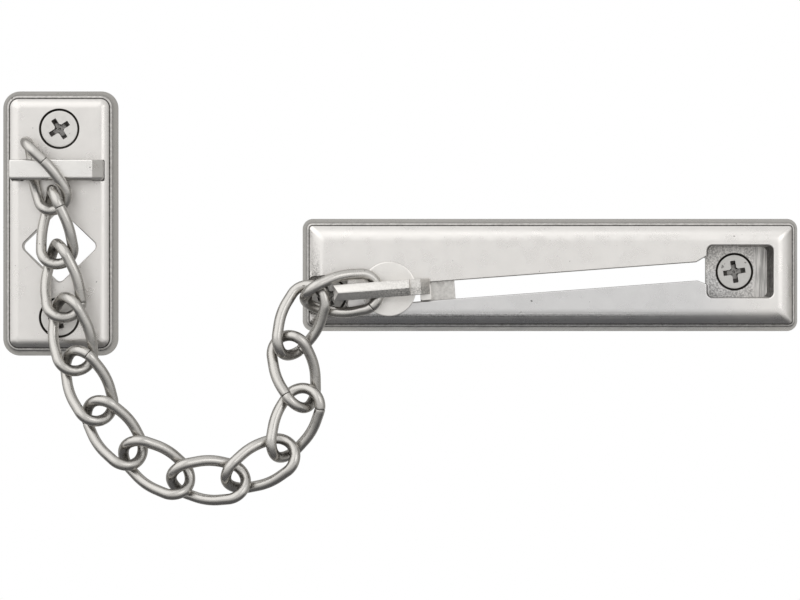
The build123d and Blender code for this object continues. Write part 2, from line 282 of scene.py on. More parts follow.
def diamond(grow, corner):
    """The window's outline about its middle, its points moved outwards, its four corners rounded."""
    half_x = WINDOW_HALF[0] + grow
    half_y = WINDOW_HALF[1] + grow
    return rounded([(half_x, 0), (0, half_y), (-half_x, 0), (0, -half_y)], [corner] * 4)


def cast_plate(name, size, corner, bead, groove, shoulder, face, place=(0, 0)):
    """Solid block of a plate, from its back edge up the drafted wall, over the bead and the groove, then
    the shoulder z = face - rise (1 - t)^2, which is level where it meets the face. Hollowed behind."""
    side = rounded([(BACK_LAND, 0), (0, 0), bead, groove], [0, FOOT_ROUND, BEAD_ROUND, 0])
    t = np.linspace(0, 1, SHOULDER_RINGS + 1)[1:]
    inset = groove[0] + (shoulder - groove[0]) * t
    climb = np.stack([inset, face - (face - groove[1]) * (1 - t) ** 2], 1)
    plate = solid(name, rectangle_rings(*size, corner, np.vstack([side, climb])), (*place, 0))
    inner = bead[0] + WALL
    ceiling = face - WALL
    mid = MID_ROUND * HOLLOW_ROUND
    profile = [
        (inner, CUT_BELOW), (inner, ceiling - HOLLOW_ROUND), (inner + mid, ceiling - mid),
        (inner + HOLLOW_ROUND, ceiling),
    ]
    hollow = solid("hollow", rectangle_rings(*size, corner, profile), (*place, 0))
    shape_with(plate, [hollow], "DIFFERENCE")
    return plate


def rim_shade(points, place, size, corner, groove):
    """Painted shade: 1 in the groove inside the bead, a little on the bead, 0 on the wall and the shoulder. The
    inset of a point from the rounded outline is the corner radius less the length of what sticks out past the
    corner centres."""
    past = np.abs(points[:, :2] - np.array(place)) - np.array(size) / 2 + corner
    inset = corner - np.hypot(*np.maximum(past, 0).T) - np.minimum(past.max(1), 0)
    near = 1 - np.abs(inset - groove[0]) / GROOVE_REACH
    bead = BEAD_SHADE * (inset < groove[0])
    return np.maximum(near, bead) * (points[:, 2] > groove[1] - GROOVE_DEEP)


holder = cast_plate(
    "holder_plate", FRAME_SIZE, FRAME_CORNER, FRAME_BEAD, FRAME_GROOVE, FRAME_SHOULDER, FRAME_FACE
)
inside = FRAME_FACE - WALL + WELL_OVERLAP
window_place = (0, -WINDOW_DROP, 0)
window_rings = outline_rings(diamond(0, WINDOW_CORNER), edge_profile(CUT_BELOW, FRAME_FACE, EDGE_ROUND))
back = [well(diamond(WINDOW_WALL, WINDOW_WALL_CORNER), WELL_FOOT, inside, window_place)]
holes = [solid("window", window_rings, window_place)]
for side in (-1, 1):
    place = (0, side * FRAME_SCREWS)
    back.append(well(circle(FRAME_HEAD / 2 + SEAT_WALL), WELL_FOOT, inside, (*place, 0)))
    holes.append(screw_seat(place, FRAME_HEAD, FRAME_FACE))
leg_wall = box_outline(STAPLE_THICK + LEG_WALL[0], STAPLE_TALL + LEG_WALL[1], LEG_WALL_CORNER)
leg_hole = box_outline(STAPLE_THICK + LEG_FIT, STAPLE_TALL + LEG_FIT, LEG_CORNER)
rivet_hole = box_outline(STAPLE_THICK + RIVET_FIT, STAPLE_TALL + RIVET_FIT, LEG_CORNER)
for leg_x in STAPLE_LEGS:
    place = (leg_x, STAPLE_RISE, 0)
    back.append(well(leg_wall, WELL_FOOT, inside, place))
    holes.append(well(leg_hole, CUT_BELOW, LEG_CUT_TOP, place))
    holes.append(well(rivet_hole, CUT_BELOW, RIVET_DEPTH, place))
shape_with(holder, back, "UNION")
shape_with(holder, holes, "DIFFERENCE")
points = drawn(holder)
# Painted shade in the groove, on the bead and in the screw seats
shade = rim_shade(points, (0, 0), FRAME_SIZE, FRAME_CORNER, FRAME_GROOVE)
for side in (-1, 1):
    shade = np.maximum(shade, seat_shade(points, (0, side * FRAME_SCREWS), FRAME_HEAD, FRAME_FACE))
mark(holder, "crevice", shade)
smooth(holder)

# Colours, and the sizes and strengths of the patterns in the nickel plate
NICKEL = (0.655, 0.635, 0.61)
# Dark colour for painted shade in grooves, seats, under parts and where links hang, and for the real pits
SHADE_AND_PIT_DARK = (0.035, 0.032, 0.028)
RAGGED_SIZE = 1500.0
SHADE_EDGE_SPAN = (0.25, 0.95)
SPECK_SIZE = 900.0
PIT_SPAN = 0.03
PIT_STRENGTH = 0.6
LUMP_SIZE = 2600.0
STREAK_SIZE = 3200.0
STREAK_DRAG = (1, 1, 0.06)
STREAK_FADE = 0.0012
CAST_SPAN = (0.36, 0.62)
CAST_TONES = (0.55, 0.95)
CAST_BUMP = (0.55, 0.0003)
GLOSS_SPAN = (0.3, 0.7)
DULLING = 0.25
GRAIN_DEPTH = 0.0002


def feed(tree, socket, value):
    """Link a socket to another one, or give it a value of its own."""
    if isinstance(value, bpy.types.NodeSocket):
        tree.links.new(value, socket)
    else:
        socket.default_value = value


def group_with(name, inputs, outputs):
    """Empty node group with named sockets, and its two ends."""
    group = bpy.data.node_groups.new(name, "ShaderNodeTree")
    for label, kind, start in inputs:
        socket = group.interface.new_socket(label, in_out="INPUT", socket_type=kind)
        if start is not None:
            socket.default_value = start
    for label, kind in outputs:
        group.interface.new_socket(label, in_out="OUTPUT", socket_type=kind)
    return group, group.nodes.new("NodeGroupInput").outputs, group.nodes.new("NodeGroupOutput").inputs


def noise(tree, vector, size, detail):
    """Noise between 0 and 1, about 0.5."""
    node = tree.nodes.new("ShaderNodeTexNoise")
    node.inputs["Detail"].default_value = detail
    feed(tree, node.inputs["Vector"], vector)
    feed(tree, node.inputs["Scale"], size)
    return node.outputs["Fac"]


def step_between(tree, value, low, high, to_low=0.0, to_high=1.0):
    """Map a value from low..high to two ends, smoothly, and hold it there."""
    node = tree.nodes.new("ShaderNodeMapRange")
    node.interpolation_type = "SMOOTHSTEP"
    for label, number in (("From Min", low), ("From Max", high), ("To Min", to_low), ("To Max", to_high)):
        feed(tree, node.inputs[label], number)
    feed(tree, node.inputs["Value"], value)
    return node.outputs["Result"]


def combine(tree, operation, first, second):
    """Sum, product, difference or larger of two values."""
    node = tree.nodes.new("ShaderNodeMath")
    node.operation = operation
    feed(tree, node.inputs[0], first)
    feed(tree, node.inputs[1], second)
    return node.outputs[0]


def stretched(tree, vector, factors):
    """The vector times a factor on each axis."""
    node = tree.nodes.new("ShaderNodeVectorMath")
    node.operation = "MULTIPLY"
    feed(tree, node.inputs[0], vector)
    feed(tree, node.inputs[1], factors)
    return node.outputs[0]


def blend(tree, factor, first, second, kind="MIX"):
    """Mix of two colours, each a socket or three numbers. They are inputs 6 and 7 of the node."""
    node = tree.nodes.new("ShaderNodeMix")
    node.data_type = "RGBA"
    node.blend_type = kind
    feed(tree, node.inputs[0], factor)
    for slot, colour in ((6, first), (7, second)):
        feed(tree, node.inputs[slot], colour if isinstance(colour, bpy.types.NodeSocket) else (*colour, 1))
    return node.outputs[2]


def bump(tree, height, strength, distance):
    """Bump of a height between 0 and 1."""
    node = tree.nodes.new("ShaderNodeBump")
    node.inputs["Strength"].default_value = strength
    node.inputs["Distance"].default_value = distance
    feed(tree, node.inputs["Height"], height)
    return node


def fine_grain_group():
    """Satin grain: fine noise for the bump, and a slow cloud for the drift of tone and gloss."""
    group, given, out = group_with(
        "fine_grain",
        [("Vector", "NodeSocketVector", None), ("Grain Size", "NodeSocketFloat", 9000.0),
         ("Stretch", "NodeSocketVector", (1, 1, 1)), ("Cloud Size", "NodeSocketFloat", 260.0)],
        [("Height", "NodeSocketFloat"), ("Cloud", "NodeSocketFloat")],
    )
    feed(group, out["Height"], noise(group, stretched(group, given["Vector"], given["Stretch"]), given["Grain Size"], 3))
    feed(group, out["Cloud"], noise(group, given["Vector"], given["Cloud Size"], 4))
    return group


def tarnish_group():
    """Painted shade, full where the shade mark is 1 and broken up by noise at its edge; and rare fine pits,
    which are real.
    """
    group, given, out = group_with(
        "tarnish",
        [("Vector", "NodeSocketVector", None), ("Crevice", "NodeSocketFloat", 0.0),
         ("Break Up", "NodeSocketFloat", 0.3), ("Pits", "NodeSocketFloat", 0.72)],
        [("Mask", "NodeSocketFloat"), ("Pit", "NodeSocketFloat")],
    )
    ragged = combine(group, "SUBTRACT", noise(group, given["Vector"], RAGGED_SIZE, 5), 0.5)
    edge = combine(group, "ADD", given["Crevice"], combine(group, "MULTIPLY", ragged, given["Break Up"]))
    feed(group, out["Mask"], step_between(group, edge, *SHADE_EDGE_SPAN))
    full = combine(group, "ADD", given["Pits"], PIT_SPAN)
    speck = noise(group, given["Vector"], SPECK_SIZE, 2)
    feed(group, out["Pit"], step_between(group, speck, given["Pits"], full))
    return group


def cast_floor_group():
    """Rough floor of a recess, left as cast: coarse lumps, and upright streaks where it was milled."""
    group, given, out = group_with(
        "cast_floor",
        [("Vector", "NodeSocketVector", None), ("Streak Start", "NodeSocketFloat", 0.0)],
        [("Height", "NodeSocketFloat"), ("Tone", "NodeSocketFloat")],
    )
    apart = group.nodes.new("ShaderNodeSeparateXYZ")
    feed(group, apart.inputs[0], given["Vector"])
    start = given["Streak Start"]
    milled = step_between(group, apart.outputs["X"], start, combine(group, "ADD", start, STREAK_FADE))
    height = group.nodes.new("ShaderNodeMix")
    feed(group, height.inputs["Factor"], milled)
    feed(group, height.inputs["A"], noise(group, given["Vector"], LUMP_SIZE, 4))
    feed(group, height.inputs["B"], noise(group, stretched(group, given["Vector"], STREAK_DRAG), STREAK_SIZE, 3))
    feed(group, out["Height"], height.outputs["Result"])
    feed(group, out["Tone"], step_between(group, height.outputs["Result"], *CAST_SPAN))
    return group


fine_grain = fine_grain_group()
tarnish = tarnish_group()
cast_floor = cast_floor_group()


def nickel(name, colour, rough, grain=(9000, 0.05), stretch=(1, 1, 1), cloud=(260, 0.06), shade=0.05,
           break_up=0.3, pits=0.75, dark=SHADE_AND_PIT_DARK, streak_start=1.0):
    """Satin nickel plate. Tone and gloss drift with the cloud, the grain is a shallow bump, the shade mark
    paints shade in a dark colour, and the cast mark turns the surface to a rough casting. The grain is given by
    its size and bump, the cloud by its size and its drift of the gloss, the shade is that of the tone."""
    material = bpy.data.materials.new(name)
    material.use_nodes = True
    tree = material.node_tree
    surface = tree.nodes["Principled BSDF"].inputs
    surface["Metallic"].default_value = 1.0
    place = tree.nodes.new("ShaderNodeTexCoord").outputs["Object"]

    def placed(group, **values):
        """Node of a group, on the object's coordinates and with the group's values."""
        node = tree.nodes.new("ShaderNodeGroup")
        node.node_tree = group
        node.name = group.name
        feed(tree, node.inputs["Vector"], place)
        for label, value in values.items():
            feed(tree, node.inputs[label.replace("_", " ").title()], value)
        return node.outputs

    def marked(label):
        """A mark of the mesh."""
        node = tree.nodes.new("ShaderNodeAttribute")
        node.attribute_name = label
        return node.outputs["Fac"]

    look = placed(fine_grain, grain_size=grain[0], stretch=stretch, cloud_size=cloud[0])
    # Painted shade where the shade mark is set, and real fine pits
    shade_and_pit_marks = placed(tarnish, break_up=break_up, pits=pits, crevice=marked("crevice"))
    casting = placed(cast_floor, streak_start=streak_start)
    as_cast = marked("cast")

    darker = [c * (1 - shade) for c in colour]
    lighter = [min(c * (1 + shade), 1) for c in colour]
    clean = blend(tree, look["Cloud"], darker, lighter)
    raw = blend(tree, casting["Tone"], *([c * tone for c in colour] for tone in CAST_TONES))
    metal = blend(tree, as_cast, clean, raw)
    # The pits are real; the mask paints shade in the dark colour
    pitted = blend(tree, combine(tree, "MULTIPLY", shade_and_pit_marks["Pit"], PIT_STRENGTH), metal, dark)
    feed(tree, surface["Base Color"], blend(tree, shade_and_pit_marks["Mask"], pitted, dark))

    gloss = step_between(tree, look["Cloud"], *GLOSS_SPAN, rough - cloud[1], rough + cloud[1])
    dull = combine(tree, "MULTIPLY", combine(tree, "MAXIMUM", shade_and_pit_marks["Mask"], as_cast), DULLING)
    feed(tree, surface["Roughness"], combine(tree, "ADD", gloss, dull))

    fine = bump(tree, look["Height"], grain[1], GRAIN_DEPTH)
    coarse = bump(tree, combine(tree, "MULTIPLY", casting["Height"], as_cast), *CAST_BUMP)
    feed(tree, coarse.inputs["Normal"], fine.outputs["Normal"])
    feed(tree, surface["Normal"], coarse.outputs["Normal"])
    return material


def dress(piece, material, body, node):
    """Give a piece its material and the body it moves with, and hide the node it stands for."""
    piece.data.materials.clear()
    piece.data.materials.append(material)
    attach(piece, body)
    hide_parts(node)


holder_nickel = nickel("holder_nickel", NICKEL, rough=0.32, grain=(9000, 0.09), shade=0.08)
dress(holder, holder_nickel, "plates", "frame_plate")

# Staple
# A flat steel bar bent square at the left and over a bevel at the right, its legs riveted through the
# holder plate. The chain's first link goes round it. Its front is brushed lengthwise, and its lower edge
# is rubbed round.
STAPLE_GAP = 4.4
STAPLE_BEVEL = 2.2
INNER_BEND = 0.3
BEVEL_BEND = 0.25
SQUARE_BEND = 0.4
TOP_EDGE = 0.4
LOWER_EDGE = 0.85
EDGE_POINTS = 7
RIVET_GROW = 0.6
RIVET_CORNER = 0.5
RIVET_PROFILE = [(-0.25, 0.12), (-0.1, 0.1), (0, 0.35), (0, 1.1)]
LEG_END = 0.1
# Painted shadow along the bar's lower edge
UNDER_SHADE = 0.8
UNDER_FADE = 0.16
STAPLE_NICKEL = (0.7, 0.685, 0.66)


def upright(name, rings, place=(0, 0, 0)):
    """Solid whose rings are drawn in the x-z plane and follow each other in y."""
    return solid(name, rings[:, ::-1, [0, 2, 1]], place)


def round_edges(half, low, high):
    """Quarter rounds of two radii at the two ends of a thickness, as (outset, place) pairs: at angle a a
    round of radius r lies r (1 - sin a) inwards and r (1 - cos a) from its end."""
    angle = np.radians(np.linspace(0, 90, EDGE_POINTS))
    first = np.stack([low * (np.sin(angle) - 1), -half + low * (1 - np.cos(angle))], 1)
    last = np.stack([high * (np.cos(angle) - 1), half - high * (1 - np.sin(angle))], 1)
    return np.vstack([first, last])


left, right = STAPLE_LEGS
half_thick = STAPLE_THICK / 2
bar_back = FRAME_FACE + STAPLE_GAP
bar_front = bar_back + STAPLE_THICK
bar_outline = rounded(
    [
        (left - half_thick, LEG_END), (left + half_thick, LEG_END), (left + half_thick, bar_back),
        (right - half_thick, bar_back), (right - half_thick, LEG_END), (right + half_thick, LEG_END),
        (right + half_thick, bar_front - STAPLE_BEVEL), (right + half_thick - STAPLE_BEVEL, bar_front),
        (left - half_thick, bar_front),
    ],
    [0, 0, INNER_BEND, INNER_BEND, 0, 0, BEVEL_BEND, BEVEL_BEND, SQUARE_BEND],
)
bar_rings = outline_rings(bar_outline, round_edges(STAPLE_TALL / 2, LOWER_EDGE, TOP_EDGE))
staple = upright("staple_bar", bar_rings, (0, STAPLE_RISE, 0))
rivet_outline = box_outline(STAPLE_THICK + RIVET_GROW, STAPLE_TALL + RIVET_GROW, RIVET_CORNER)
rivet_rings = outline_rings(rivet_outline, RIVET_PROFILE)
shape_with(staple, [solid("rivet", rivet_rings, (x, STAPLE_RISE, 0)) for x in STAPLE_LEGS], "UNION")
points = drawn(staple)
# Painted shadow on the bar's underside, along its lower edge
under = (STAPLE_RISE - STAPLE_TALL / 2 + UNDER_FADE - points[:, 1]) / UNDER_FADE
mark(staple, "crevice", UNDER_SHADE * under * (points[:, 2] > FRAME_FACE))
smooth(staple)
staple_nickel = nickel(
    "staple_nickel", STAPLE_NICKEL, rough=0.3, grain=(5200, 0.14), stretch=(0.15, 1, 1), shade=0.07
)
dress(staple, staple_nickel, "plates", "chain_staple")

# Screws
# Four countersunk wood screws with a cross recess, nickel plated and tumbled, so their heads are duller
# than the plates. The thread is rolled and runs out at the point. Shade is painted in the cross and round the
# head.
SHANK = 2.1
THREAD_CORE = 1.3
THREAD_CREST = 1.8
THREAD_PITCH = 1.5
THREAD_FLANK = 0.24
THREAD_LENGTH = 18.0
THREAD_RUN_OUT = 1.2
THREAD_STEP = 0.11
TIP_LENGTH = 4.0
TIP_SHARE = 0.02
TIP_BULGE = 0.8
CREST_BULGE = 1.2
TURNED_POINTS = 48
HEAD_BELOW = 0.3
SHANK_FOOT = 0.15
HEAD_RIM = ((-0.1, -0.16), (0, -0.08), (-0.05, -0.02), (-0.16, 0), (-0.4, 0))
CROSS_LENGTH = 4.9
CROSS_WIDTH = 1.15
CROSS_DEPTH = 1.6
CROSS_LEVELS = ((0.62, -CROSS_DEPTH), (1.0, 0.0), (1.2, 0.4))
CROSS_NARROWING = (0.45, 0.55)
CROSS_CORNER = 0.14
CROSS_LIP = 0.03
CONE_RADIUS = 1.05
CONE_POINTS = 32
CONE_TIP = 0.35
CONE_TIP_RADIUS = 0.15
CONE_SPREAD = 1.2
# Painted shade round the rim of the head; the cross gets a darker copy of the nickel as painted shade
HEAD_RIM_SHADE = 0.12
HEAD_RIM_SHADE_FADE = 0.1
SCREW_NICKEL = (0.6, 0.585, 0.56)
CROSS_SHADED_NICKEL = (0.27, 0.262, 0.25)


def turned_rings(profile, around):
    """Rings of a turned shape, one for each (radius, z) of the profile."""
    radius, z = np.array(profile, float).T
    flat = radius[:, None, None] * circle(1, around)
    return np.concatenate([flat, np.repeat(z[:, None, None], around, 1)], 2)


def thread_rings():
    """Rolled thread: the radius at height z and angle a is the core plus the crest times a sharp wave of
    z / pitch - a / turn, both shrinking over the tip."""
    z = np.arange(-THREAD_LENGTH, 0, THREAD_STEP)
    angle = np.linspace(0, 2 * np.pi, TURNED_POINTS, endpoint=False)
    turns = z[:, None] / THREAD_PITCH - angle[None, :] / (2 * np.pi)
    wave = np.clip(1 - np.abs(turns % 1 - 0.5) / THREAD_FLANK, 0, 1)
    taper = np.clip((z + THREAD_LENGTH) / TIP_LENGTH, TIP_SHARE, 1)[:, None]
    run_out = np.clip(-z / THREAD_RUN_OUT, 0, 1)[:, None]
    crest = (THREAD_CREST - THREAD_CORE) * wave * np.minimum(taper * CREST_BULGE, 1) * run_out
    radius = THREAD_CORE * taper ** TIP_BULGE + crest
    height = np.repeat(z[:, None], TURNED_POINTS, 1)
    return np.stack([radius * np.cos(angle), radius * np.sin(angle), height], 2)


def cross_cutter(place, top, turn):
    """One bar of the cross: an outline that narrows and shortens towards the bottom of the recess."""
    spin = np.radians(turn)
    turning = np.array([[np.cos(spin), np.sin(spin)], [-np.sin(spin), np.cos(spin)]])
    least, more = CROSS_NARROWING
    levels = []
    for share, z in CROSS_LEVELS:
        outline = box_outline(CROSS_LENGTH * share, CROSS_WIDTH * (least + more * share), CROSS_CORNER)
        levels.append(np.concatenate([outline @ turning, np.full((len(outline), 1), top + z)], 1))
    return solid("cross", np.stack(levels), (*place, 0))


def cone_cutter(place, top):
    """Cone in the middle of the cross, where its four arms run together."""
    profile = [
        (CONE_TIP_RADIUS, top - CROSS_DEPTH - CONE_TIP), (CONE_RADIUS, top),
        (CONE_RADIUS * CONE_SPREAD, top + CUT_PAST),
    ]
    return solid("cone", turned_rings(profile, CONE_POINTS), (*place, 0))


def screw(name, node, place, head, floor, turn, finish):
    """Thread, shank and countersunk head turned in one, then the cross is pressed in. The finish is a pair,
    one for the screw and a darker one that paints shade on the faces of the cross."""
    top = floor - HEAD_BELOW
    under = top - (head / 2 - SHANK)
    profile = [(THREAD_CORE, 0), (SHANK, SHANK_FOOT), (SHANK, under)]
    profile += [(head / 2 + out, top + up) for out, up in HEAD_RIM]
    rings = np.concatenate([thread_rings(), turned_rings(profile, TURNED_POINTS)])
    piece = solid(name, rings, (*place, 0))
    pressed = [cross_cutter(place, top, turn), cross_cutter(place, top, turn + 90), cone_cutter(place, top)]
    shape_with(piece, pressed, "DIFFERENCE")
    points = drawn(piece)
    reach = np.hypot(points[:, 0] - place[0], points[:, 1] - place[1])
    # Painted shade round the rim of the head
    mark(piece, "crevice", (reach - head / 2 + HEAD_RIM_SHADE) / HEAD_RIM_SHADE_FADE * (points[:, 2] > under))
    dress(piece, finish[0], "plates", node)
    piece.data.materials.append(finish[1])
    middles = off_wall(vectors(piece.data.polygons, "center"))
    in_cross = np.hypot(middles[:, 0] - place[0], middles[:, 1] - place[1]) < CROSS_LENGTH / 2
    in_cross &= middles[:, 2] < top - CROSS_LIP
    in_cross &= middles[:, 2] > top - CROSS_DEPTH - CONE_TIP - HAIR
    piece.data.polygons.foreach_set("material_index", in_cross.astype(np.int32))
    smooth(piece)


screw_nickel = nickel(
    "screw_nickel", SCREW_NICKEL, rough=0.36, grain=(5200, 0.2), cloud=(700, 0.08), shade=0.12, pits=0.7
)
# Darker copy of the nickel, for painted shade in the cross
cross_shaded_nickel = nickel(
    "cross_recess_painted_shade", CROSS_SHADED_NICKEL, rough=0.45, grain=(5200, 0.3), cloud=(1500, 0.1), shade=0.45, pits=0.6
)
holder_finish = (screw_nickel, cross_shaded_nickel)
for end, side, turn in (("top", 1, 33), ("bottom", -1, 12)):
    screw(f"holder_screw_{end}", f"frame_screw_{end}", (0, side * FRAME_SCREWS), FRAME_HEAD, FRAME_FACE,
          turn, holder_finish)

# Track plate
# The long die-cast plate for the door. The slanted slot opens into a pocket, where the slider goes in and
# out, and one screw sits in the pocket's rough floor. The other sits in a small recess at the left end.
TRACK_CENTRE = (108.35, -11.4)
TRACK_SIZE = (109.6, 24.9)
TRACK_FACE = 7.0
TRACK_CORNER = 2.3
TRACK_BEAD = (1.15, 5.65)
TRACK_GROOVE = (1.55, 5.3)
TRACK_SHOULDER = 5.1
TRACK_HEAD = 7.5

SLOT_HALF = 2.0
SLOT_SLOPE = 4.3
SLOT_START = (-35.56, -4.33)
SLOT_END_POINTS = 25
FLARE = 1.1
FLARE_ROUND = 0.5
MOUTH_PAST = 2.0
MOUTH_CUT = 3.0
MOUTH_OVERLAP = 0.05

POCKET = (41.65, 0.7)
POCKET_SIZE = (14.7, 11.6)
POCKET_FLOOR = 3.0
POCKET_SCREW_LEFT = 1.0
POCKET_CORNER = 1.3
POCKET_EDGE = 0.3
RECESS = (-49.1, -4.5)
RECESS_SIZE = (8.6, 8.6)
DOORWAY_HEIGHT = 16.0
WELL_WALL = 1.4
WELL_CORNER = 2.0
RECESS_TUCK = 0.4
RECESS_WELL_CORNER = 1.0

# How far the walls lean in towards the floor: left, right, top, bottom
POCKET_LEAN = (0.75, 1.15, 0.3, 0.25)
RECESS_LEAN = (0.15, 0.15, 0.1, 0.1)

# Painted shade on the pocket's left and right walls, and the reach of the rough floor's mark
WALL_SHADE = (0.62, 0.72)
WALL_SHADE_TOP = 0.25
WALL_SHADE_PAST = 0.1
ROUGH_MARGIN = 0.4
ROUGH_BELOW = 0.05
ROUGH_TOP = 0.12
ROUGH_FADE = 0.15
STREAKS_FROM = 2.6
TRACK_NICKEL = (0.69, 0.67, 0.645)
DULL_NICKEL = (0.48, 0.47, 0.45)
# Painted shade below the slot: its tone, where it fades in and out, and the width of its edge
BELOW_SLOT_SHADE_TONE = (0.85, 0.865, 0.89)
BELOW_SLOT_SHADE_SPAN = (60, 72, 138, 158)
BELOW_SLOT_SHADE_EDGE = 0.0008


def in_track(points):
    """From the plate's own middle to the drawing."""
    return np.asarray(points, float) + np.array(TRACK_CENTRE)


def slot_outline():
    """Round end, two straight sides along the slope, and a mouth that flares into the pocket. A point s
    along the slope and t above it is start + s along + t up."""
    slope = np.radians(SLOT_SLOPE)
    along = np.array([np.cos(slope), np.sin(slope)])
    up = np.array([-along[1], along[0]])
    start = np.array(SLOT_START)
    mouth = (POCKET[0] - POCKET_SIZE[0] / 2 - start[0]) / along[0]
    angle = np.radians(np.linspace(90, 270, SLOT_END_POINTS))[:, None]
    end = start + SLOT_HALF * (np.cos(angle) * along + np.sin(angle) * up)
    side = [(mouth - 2 * FLARE, SLOT_HALF), (mouth, SLOT_HALF + FLARE), (mouth + MOUTH_PAST, SLOT_HALF + FLARE)]
    lower = [start + s * along - t * up for s, t in side]
    upper = [start + s * along + t * up for s, t in side[::-1]]
    bends = [0, FLARE_ROUND, FLARE_ROUND, 0]
    mouth_line = rounded([end[-1], *lower, *upper, end[0]], bends + bends)
    return np.vstack([end[1:-1], mouth_line])


def sunk_box(width, height, lean, place):
    """Cutter for a sunk floor: a rounded box whose lowest ring is drawn in by the lean of each wall."""
    outline = box_outline(width, height, POCKET_CORNER)
    rings = outline_rings(outline, edge_profile(POCKET_FLOOR, TRACK_FACE, POCKET_EDGE))
    left, right, top, bottom = lean
    rings[0, :, :2] = box_outline(width - left - right, height - top - bottom, POCKET_CORNER)
    rings[0, :, :2] += [(left - right) / 2, (bottom - top) / 2]
    return solid("sunk_box", rings, place)


def wall_shade(piece, place):
    """For each face of the plate, painted shade on the pocket's left and right walls, which lean inwards."""
    middles = off_wall(vectors(piece.data.polygons, "center"))
    facing = vectors(piece.data.polygons, "normal")[:, 0]
    within = np.abs(middles[:, 0] - place[0]) < POCKET_SIZE[0] / 2 + WALL_SHADE_PAST
    within &= np.abs(middles[:, 1] - place[1]) < POCKET_SIZE[1] / 2
    within &= (middles[:, 2] > POCKET_FLOOR) & (middles[:, 2] < TRACK_FACE - WALL_SHADE_TOP)
    return within * (WALL_SHADE[0] * (facing > 0.5) + WALL_SHADE[1] * (facing < -0.5))


def floor_share(points, place, size):
    """1 on a sunk floor and its walls, 0 from just below the face's edge outwards."""
    within = (np.abs(points[:, :2] - place[:2]) < np.array(size) / 2 + ROUGH_MARGIN).all(1)
    within &= points[:, 2] > POCKET_FLOOR - ROUGH_BELOW
    return within * np.clip((TRACK_FACE - ROUGH_TOP - points[:, 2]) / ROUGH_FADE, 0, 1)


def mark_corners(piece, name, point_values, face_values):
    """A value for each corner of each face: the larger of its point's and its face's."""
    corners = np.empty(len(piece.data.loops), np.int32)
    piece.data.loops.foreach_get("vertex_index", corners)
    sizes = np.empty(len(piece.data.polygons), np.int32)
    piece.data.polygons.foreach_get("loop_total", sizes)
    values = np.clip(np.maximum(point_values[corners], np.repeat(face_values, sizes)), 0, 1)
    piece.data.attributes.new(name, "FLOAT", "CORNER").data.foreach_set("value", values.astype(np.float32))


def paint_shade_below_slot(material):
    """Painted shade: the plate below its slot is a little darker and cooler. The tone changes across the slot's
    own line and fades out past its two ends."""
    tree = material.node_tree
    colour = tree.nodes["Principled BSDF"].inputs["Base Color"]
    apart = tree.nodes.new("ShaderNodeSeparateXYZ")
    feed(tree, apart.inputs[0], tree.nodes.new("ShaderNodeTexCoord").outputs["Object"])
    rise = np.tan(np.radians(SLOT_SLOPE))
    start_x, start_z = in_track(SLOT_START) / 1000
    line = combine(tree, "MULTIPLY", combine(tree, "SUBTRACT", apart.outputs["X"], start_x), rise)
    height = combine(tree, "SUBTRACT", combine(tree, "SUBTRACT", apart.outputs["Z"], start_z), line)
    below = step_between(tree, height, -BELOW_SLOT_SHADE_EDGE, BELOW_SLOT_SHADE_EDGE, 1.0, 0.0)
    come, full, go, gone = [x / 1000 for x in BELOW_SLOT_SHADE_SPAN]
    fade_in = step_between(tree, apart.outputs["X"], come, full)
    fade_out = step_between(tree, apart.outputs["X"], go, gone, 1.0, 0.0)
    share = combine(tree, "MULTIPLY", combine(tree, "MULTIPLY", below, fade_in), fade_out)
    feed(tree, colour, blend(tree, share, colour.links[0].from_socket, BELOW_SLOT_SHADE_TONE, "MULTIPLY"))


track = cast_plate(
    "track_casting", TRACK_SIZE, TRACK_CORNER, TRACK_BEAD, TRACK_GROOVE, TRACK_SHOULDER, TRACK_FACE,
    TRACK_CENTRE,
)
track_ceiling = TRACK_FACE - WALL
pocket_place = (*in_track(POCKET), 0)
recess_place = (*in_track(RECESS), 0)
pocket_screw = (pocket_place[0] - POCKET_SCREW_LEFT, pocket_place[1])
pocket_wall = box_outline(POCKET_SIZE[0] + 2 * WELL_WALL, POCKET_SIZE[1] + 2 * WELL_WALL, WELL_CORNER)

# The plate's own side wall closes the recess at the left, so the recess's walls stop short there
recess_wall = box_outline(
    RECESS_SIZE[0] + WELL_WALL - RECESS_TUCK, RECESS_SIZE[1] + 2 * WELL_WALL, RECESS_WELL_CORNER
)
recess_wall_place = (recess_place[0] + (WELL_WALL + RECESS_TUCK) / 2, recess_place[1], 0)
inside = track_ceiling + WELL_OVERLAP
walls = [
    well(pocket_wall, WELL_FOOT, inside, pocket_place),
    well(recess_wall, WELL_FOOT, inside, recess_wall_place),
]
shape_with(track, walls, "UNION")
doorway = (pocket_place[0] - POCKET_SIZE[0] / 2, pocket_place[1], 0)
mouth_outline = box_outline(MOUTH_CUT, 2 * (SLOT_HALF + FLARE), LEG_CORNER)
mouth_place = (doorway[0] - MOUTH_CUT / 2 + MOUTH_OVERLAP, doorway[1], 0)
slot_profile = edge_profile(track_ceiling - 1, TRACK_FACE, EDGE_ROUND)
cutters = [
    well(box_outline(POCKET_SIZE[0], DOORWAY_HEIGHT), POCKET_FLOOR + HAIR, track_ceiling - HAIR, doorway),
    sunk_box(*POCKET_SIZE, POCKET_LEAN, pocket_place),
    sunk_box(*RECESS_SIZE, RECESS_LEAN, recess_place),
    well(mouth_outline, CUT_BELOW, TRACK_FACE - 1, mouth_place),
    solid("slot", outline_rings(in_track(slot_outline()), slot_profile)),
    screw_seat(pocket_screw, TRACK_HEAD, POCKET_FLOOR),
    screw_seat(recess_place[:2], TRACK_HEAD, POCKET_FLOOR),
]
shape_with(track, cutters, "DIFFERENCE")
points = drawn(track)
